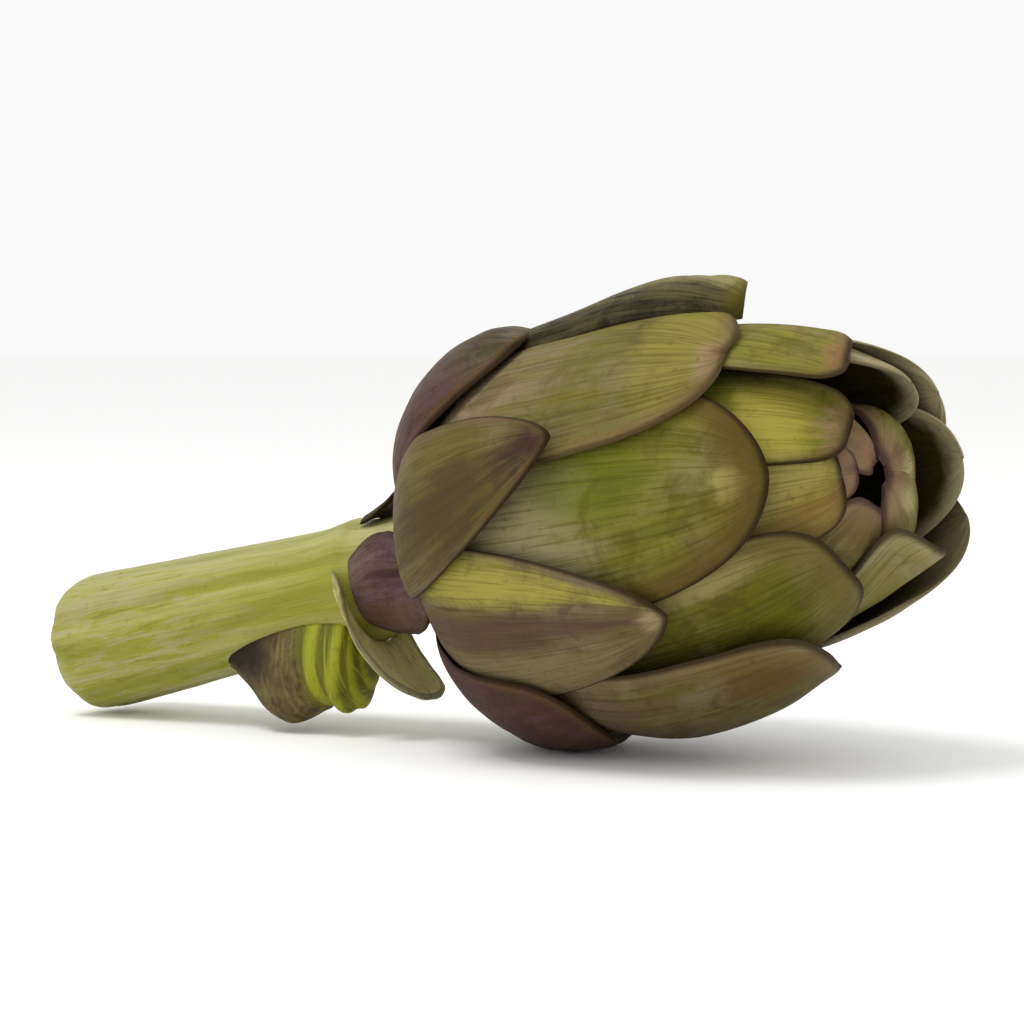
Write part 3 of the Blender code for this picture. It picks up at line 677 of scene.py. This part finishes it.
def stemTree(columns=144, rows=260):
    tree = bpy.data.node_groups.new("stemAlongLine", "GeometryNodeTree")
    desk, given = askFor(tree, ("Ridges", "Ridge Height", "Lumps"))
    ask = given.__getitem__
    line = desk.add("GeometryNodeMeshToCurve", None, {"Mesh": ask("Geometry")})
    grid = desk.add("GeometryNodeMeshGrid", None,
                    {"Size X": 2.0, "Size Y": 1.0, "Vertices X": columns + 1, "Vertices Y": rows + 1})
    x, y, _ = desk.parts(desk.add("GeometryNodeInputPosition"))
    turn = x * math.pi
    sine, cosine = turn.math("SINE"), turn.math("COSINE")
    point, normal = sample(desk, line, 0, y + 0.5)
    station, _, radius = desk.parts(point)
    on = desk.ease(radius, 0.009, 0.0125) * desk.ease(station, stem["smoothFrom"] * mm, 0.0)
    spin = desk.join(sine, cosine, station * 11.0)
    drift = desk.noise(spin, 1.6, 2.0) - 0.5
    wave = (turn * ask("Ridges") + drift * 7.0).math("COSINE") * 0.5 + 0.5
    patchy = desk.noise(desk.join(sine * 1.6, cosine * 1.6, station * 14.0), 1.3, 2.0)
    strong = desk.ease(patchy, 0.35, 0.6, 0.35)
    ridge = (wave ** 0.7 - 0.6) * strong
    fine = desk.noise(desk.join(sine * 9.0, cosine * 9.0, station * 30.0), 1.0, 3.0) - 0.5
    lump = desk.noise(desk.join(sine * 1.4, cosine * 1.4, station * 38.0), 1.0, 2.0) - 0.5
    cutFace = desk.ease(station, stem["cutFrom"] * mm, stem["cutTo"] * mm)
    fibre = desk.noise(desk.join(sine * radius * 900.0, cosine * radius * 900.0, 4.0), 1.0, 3.0) - 0.5
    height = on * (ask("Ridge Height") * (ridge + fine * 0.5) + ask("Lumps") * lump)
    height = height + cutFace * fibre * (stem["cutRough"] * mm)
    moved = desk.vector("ADD", point, desk.vector("SCALE", desk.vector("NORMALIZE", normal), scale=height))
    along, _, out = desk.parts(moved)
    out = out.math("MAXIMUM", 0.0) * desk.ease(radius, -0.0001, 0.00005)
    bend = (along - plant["bendFrom"] * mm).math("MINIMUM", 0.0)
    place = desk.join(along, bend * swing - out * sine, bend * droop + out * cosine)
    kept = store(desk, grid, "grain", desk.join(sine, cosine, station * 10.0), "FLOAT_VECTOR")
    kept = store(desk, kept, "ridge", ridge)
    kept = store(desk, kept, "cut", desk.ease(station, -0.0958, -0.0966) * desk.ease(radius, 0.0145, 0.0138))
    kept = store(desk, kept, "radius", radius * 100.0)
    shaped = desk.add("GeometryNodeSetPosition", None, {"Geometry": kept, "Position": place})
    finishTree(desk, shaped, ask("Skin"))
    return tree


def stemSkin():
    skin = bpy.data.materials.new("stem_skin")
    skin.use_nodes = True
    desk = Desk(skin.node_tree)
    shader = skin.node_tree.nodes["Principled BSDF"]
    sine, cosine, along = desk.parts(desk.read("grain", "Vector"))
    ridge, cut, radius = desk.read("ridge"), desk.read("cut"), desk.read("radius")
    place = desk.add("ShaderNodeTexCoord", None, None, "Object")
    streak = desk.noise(desk.join(sine * 3.0, cosine * 3.0, along * 1.3), 1.7, 5.0, 0.64, 0.4)
    fibre = desk.noise(desk.join(sine * 26.0, cosine * 26.0, along * 6.0), 1.0, 4.0, 0.64)
    scuff = desk.noise(desk.join(sine * 3.4, cosine * 3.4, along * 4.4), 1.6, 6.0, 0.7, 0.6)
    speck = desk.noise(place, 500.0, 2.0, 0.6)
    colour = desk.blendColour(desk.ease(streak, 0.36, 0.64), paint(152, 151, 68), paint(138, 139, 36))
    # painted light: the stem's top side is laid on paler, most of all just below the head, as where the light
    # from above falls
    litTop = desk.ease(cosine + (scuff - 0.5) * 0.8, 0.25, 1.0)
    colour = desk.blendColour(litTop * 0.7, colour, paint(166, 164, 106))
    colour = desk.blendColour(desk.ease(along, -0.24, -0.1) * 0.5, colour, paint(170, 167, 80))
    litCollar = desk.ease(along, -0.2, -0.1) * desk.ease(cosine + (scuff - 0.5) * 0.6, 0.1, 0.9)
    colour = desk.blendColour(litCollar * 0.7, colour, paint(178, 170, 126))
    worn = desk.ease(scuff, 0.46, 0.58) * desk.ease(along, -0.25, -0.66)
    colour = desk.blendColour(worn * 0.75, colour, paint(158, 153, 112))
    fresher = desk.ease(scuff, 0.46, 0.36) * desk.ease(along, -0.4, -0.7)
    colour = desk.blendColour(fresher * 0.6, colour, paint(110, 110, 30))
    colour = desk.blendColour(desk.ease(ridge, -0.03, -0.4) * 0.5, colour, paint(118, 122, 26))
    colour = desk.blendColour(desk.ease(ridge, 0.08, 0.36) * 0.35, colour, paint(176, 172, 106))
    colour = desk.blendColour(desk.ease(fibre, 0.54, 0.38) * 0.3, colour, paint(112, 114, 34))
    colour = desk.blendColour(desk.ease(speck, 0.6, 0.75) * 0.25, colour, paint(106, 98, 44))
    pith = desk.blendColour(desk.ease(radius, 0.7, 1.15), paint(186, 182, 122), paint(150, 152, 78))
    browned = desk.ease(desk.noise(place, 700.0, 3.0), 0.5, 0.7)
    pith = desk.blendColour(browned * 0.6, pith, paint(150, 132, 84))
    colour = desk.blendColour(cut, colour, pith)
    skin.node_tree.links.new(colour.socket, shader.inputs["Base Color"])
    shader.inputs["Specular IOR Level"].default_value = 0.22
    skin.node_tree.links.new((0.52 + (scuff - 0.5) * 0.3).socket, shader.inputs["Roughness"])
    bump = desk.add("ShaderNodeBump", None,
                    {"Strength": 0.5, "Distance": 0.0006, "Height": fibre * 0.5 + speck * 0.2 + scuff * 0.6})
    skin.node_tree.links.new(bump.socket, shader.inputs["Normal"])
    return skin


stemNumbers = {"Ridges": stem["ridges"], "Ridge Height": stem["ridgeHeight"] * mm,
               "Lumps": stem["lumps"] * mm}
stalk = grow("stem_stalk", stemTree(), (spline(stem["line"], 600),), stemNumbers, stemSkin())
takePlace(stalk, "stem_skin", "stem")
print("stem grown")

tornLeaf = {
    "azimuth": 160.0, "width": 17.0, "sunk": 0.4,         # sunk into the stem, mm
    "ribPeriod": 0.10, "ribHeight": 1.2, "greenFrom": 0.58,
    "wildness": 1.3, "raggedness": 1.8,                   # mm, on its brown part and at its far edge
    "line": ((-54, 15.2), (-50.5, 17.8), (-46, 23.4), (-41.5, 27.6), (-37, 29), (-32.5, 27.6),
             (-29.6, 25.4), (-27.6, 25.2), (-25.4, 27.8), (-22.8, 28.2), (-20.6, 25.2), (-19.2, 18)),
    "stemLine": ((-97, 15.4), (-80, 14.9), (-60, 14.1), (-40, 13.3), (-20, 12.6), (-8, 12.4)),
}


def tornSkin():
    skin = bpy.data.materials.new("torn_leaf_skin")
    skin.use_nodes = True
    desk = Desk(skin.node_tree)
    shader = skin.node_tree.nodes["Principled BSDF"]
    across, along, rib = desk.parts(desk.read("leaf", "Vector"))
    place = desk.add("ShaderNodeTexCoord", None, None, "Object")
    cloud = desk.noise(place, 170.0, 5.0, 0.66, 0.6)
    fibre = desk.noise(desk.join(across * 2.0, along * 22.0, 2.0), 2.0, 4.0, 0.6)
    thread = desk.noise(desk.join(across * 1.2, along * 60.0, 4.0), 1.6, 4.0, 0.66)
    # the ribbed part's own green, with painted light on the crests and painted shade in the grooves
    crest = desk.ease(rib + (thread - 0.5) * 1.2, 0.1, 0.95)
    green = desk.blendColour(crest, paint(90, 92, 12), paint(142, 146, 30))
    green = desk.blendColour(desk.ease(thread, 0.5, 0.7) * 0.6, green, paint(152, 150, 58))
    green = desk.blendColour(desk.ease(cloud, 0.5, 0.68) * 0.5, green, paint(80, 74, 26))
    torn = desk.blendColour(desk.ease(cloud, 0.4, 0.62), paint(70, 54, 32), paint(96, 84, 46))
    threads = desk.ease(fibre + (along - 0.3) * 0.3, 0.5, 0.72)
    torn = desk.blendColour(threads * 0.6, torn, paint(122, 112, 58))
    # painted shade: near-black where the lobe meets the stem, in the hollow under it
    jointShade = desk.ease(across.math("ABSOLUTE") + (cloud - 0.5) * 0.5, 0.55, 0.85)
    torn = desk.blendColour(jointShade * desk.ease(along, 0.5, 0.3), torn, paint(30, 18, 10))
    greenFrom = tornLeaf["greenFrom"]
    sound = desk.ease(along + (cloud - 0.5) * 0.18, greenFrom - 0.05, greenFrom + 0.03)
    colour = desk.blendColour(sound, torn, green)
    skin.node_tree.links.new(colour.socket, shader.inputs["Base Color"])
    shader.inputs["Specular IOR Level"].default_value = 0.2
    skin.node_tree.links.new((0.6 + (cloud - 0.5) * 0.3).socket, shader.inputs["Roughness"])
    bump = desk.add("ShaderNodeBump", None,
                    {"Strength": 0.6, "Distance": 0.0008, "Height": cloud + fibre * 0.5})
    skin.node_tree.links.new(bump.socket, shader.inputs["Normal"])
    return skin


def tornLeafMesh(columns=96, rows=72):
    line = spline(tornLeaf["line"])
    stations, radii = np.array(tornLeaf["stemLine"]).T
    points, marks = [], []
    for i in range(rows + 1):
        v = i / rows
        station, crest = (float(np.interp(v, shares, line[:, k])) for k in (0, 1))
        under = float(np.interp(station, stations, radii)) - tornLeaf["sunk"]
        half = tornLeaf["width"] / 2 * (0.62 + 0.38 * math.sin(math.pi * v))
        closed = math.sqrt(max(0.0, 1 - abs(2 * v - 1) ** 7))
        for j in range(columns):
            t = 2 * math.pi * j / columns
            u = math.sin(t)
            tall = (crest - under) * (0.25 + 0.75 * (1 - abs(u) ** 2.6)) * closed
            fan = (v - tornLeaf["greenFrom"]) * (1 + 0.35 * u) / tornLeaf["ribPeriod"]
            fan = 2 * math.pi * fan + 1.2 * noise.noise(Vector((u * 1.5, v * 3.0, 5.0)))
            rib = 0.5 - 0.5 * math.cos(fan)
            rib *= float(smooth(tornLeaf["greenFrom"] - 0.04, tornLeaf["greenFrom"] + 0.02, v))
            wild = noise.noise(Vector((u * 2.1, v * 7.0, 3.0))) * tornLeaf["wildness"]
            wild *= 1 - 0.7 * float(smooth(0.5, 0.7, v))
            top = max(0.0, math.cos(t))
            out = under + tall * (top ** 0.35 if top else 0.0) + top * (rib * tornLeaf["ribHeight"] + wild)
            turn = math.radians(tornLeaf["azimuth"]) + u * half / under * (1 - 0.2 * top)
            ragged = (1 - float(smooth(0.0, 0.35, v))) * top * tornLeaf["raggedness"]
            ragged *= noise.noise(Vector((u * 5.0, 1.0, 7.0)))
            away = Vector((ragged, -out * math.sin(turn), out * math.cos(turn)))
            points.append((stemAxis(station) + away) * mm)
            marks.append((u, v, rib))
    faces = [(i * columns + j, i * columns + (j + 1) % columns, (i + 1) * columns + (j + 1) % columns,
              (i + 1) * columns + j) for i in range(rows) for j in range(columns)]
    faces += [tuple(range(columns)), tuple(reversed(range(rows * columns, (rows + 1) * columns)))]
    mesh = bpy.data.meshes.new("torn_leaf_stump")
    mesh.from_pydata(points, [], faces)
    kept = mesh.attributes.new("leaf", "FLOAT_VECTOR", "POINT")
    kept.data.foreach_set("vector", np.array(marks, np.float32).ravel())
    mesh.materials.append(tornSkin())
    return mesh


stump = settle("torn_leaf_stump", tornLeafMesh())
takePlace(stump, "torn_leaf_skin", "torn_leaf")
print("torn leaf made")

studio = {   # metres, degrees and watts
    "floorRadius": 4.0, "floorColour": paint(253, 253, 252), "floorSecond": paint(250, 250, 249),
    "worldColour": (1.0, 1.0, 1.0, 1.0), "worldLight": 0.95,
    "keyPlace": (-0.25, -0.35, 1.0), "keySize": 0.45, "keyPower": 4.6,
    "fillPlace": (0.9, -0.9, 0.5), "fillSize": 0.9, "fillPower": 0.6,
    "lampsToward": (0.0, 0.0, 0.04),
    "cameraTurn": 33.0, "cameraRise": 4.5, "cameraFar": 0.73, "lookAt": (0.0017, -0.00064, 0.040),
    "lens": 119.5, "shift": (0.0264, 0.041),
}


def floor():
    mesh = bpy.data.meshes.new("floor")
    edit = bmesh.new()
    bmesh.ops.create_circle(edit, cap_ends=True, segments=128, radius=studio["floorRadius"])
    edit.to_mesh(mesh)
    edit.free()
    piece = bpy.data.objects.new("floor", mesh)
    bpy.context.scene.collection.objects.link(piece)
    skin = bpy.data.materials.new("floor_paper")
    skin.use_nodes = True
    desk = Desk(skin.node_tree)
    shader = skin.node_tree.nodes["Principled BSDF"]
    place = desk.add("ShaderNodeTexCoord", None, None, "Object")
    tone = desk.blendColour(desk.noise(place, 9.0, 3.0) * 0.5, studio["floorColour"], studio["floorSecond"])
    skin.node_tree.links.new(tone.socket, shader.inputs["Base Color"])
    shader.inputs["Roughness"].default_value = 0.8
    shader.inputs["Specular IOR Level"].default_value = 0.1
    mesh.materials.append(skin)


def lamp(name, where, size, power):
    data = bpy.data.lights.new(name, "AREA")
    data.shape, data.size, data.energy = "DISK", size, power
    piece = bpy.data.objects.new(name, data)
    piece.location = where
    aim = Vector(studio["lampsToward"]) - Vector(where)
    piece.rotation_euler = aim.to_track_quat("-Z", "Y").to_euler()
    bpy.context.scene.collection.objects.link(piece)


def camera():
    data = bpy.data.cameras.new("camera")
    turn, rise = math.radians(studio["cameraTurn"]), math.radians(studio["cameraRise"])
    back = Vector((math.sin(turn) * math.cos(rise), -math.cos(turn) * math.cos(rise), math.sin(rise)))
    data.sensor_width, data.lens = 36.0, studio["lens"]
    data.shift_x, data.shift_y = studio["shift"]
    piece = bpy.data.objects.new("camera", data)
    piece.location = Vector(studio["lookAt"]) + back * studio["cameraFar"]
    piece.rotation_euler = back.to_track_quat("Z", "Y").to_euler()
    bpy.context.scene.collection.objects.link(piece)
    bpy.context.scene.camera = piece


floor()
lamp("keyLight", studio["keyPlace"], studio["keySize"], studio["keyPower"])
lamp("fillLight", studio["fillPlace"], studio["fillSize"], studio["fillPower"])
camera()
world = bpy.data.worlds.new("studio")
world.use_nodes = True
world.node_tree.nodes["Background"].inputs["Color"].default_value = studio["worldColour"]
world.node_tree.nodes["Background"].inputs["Strength"].default_value = studio["worldLight"]
bpy.context.scene.world = world
bpy.context.scene.view_settings.view_transform = "Standard"
print("studio set")
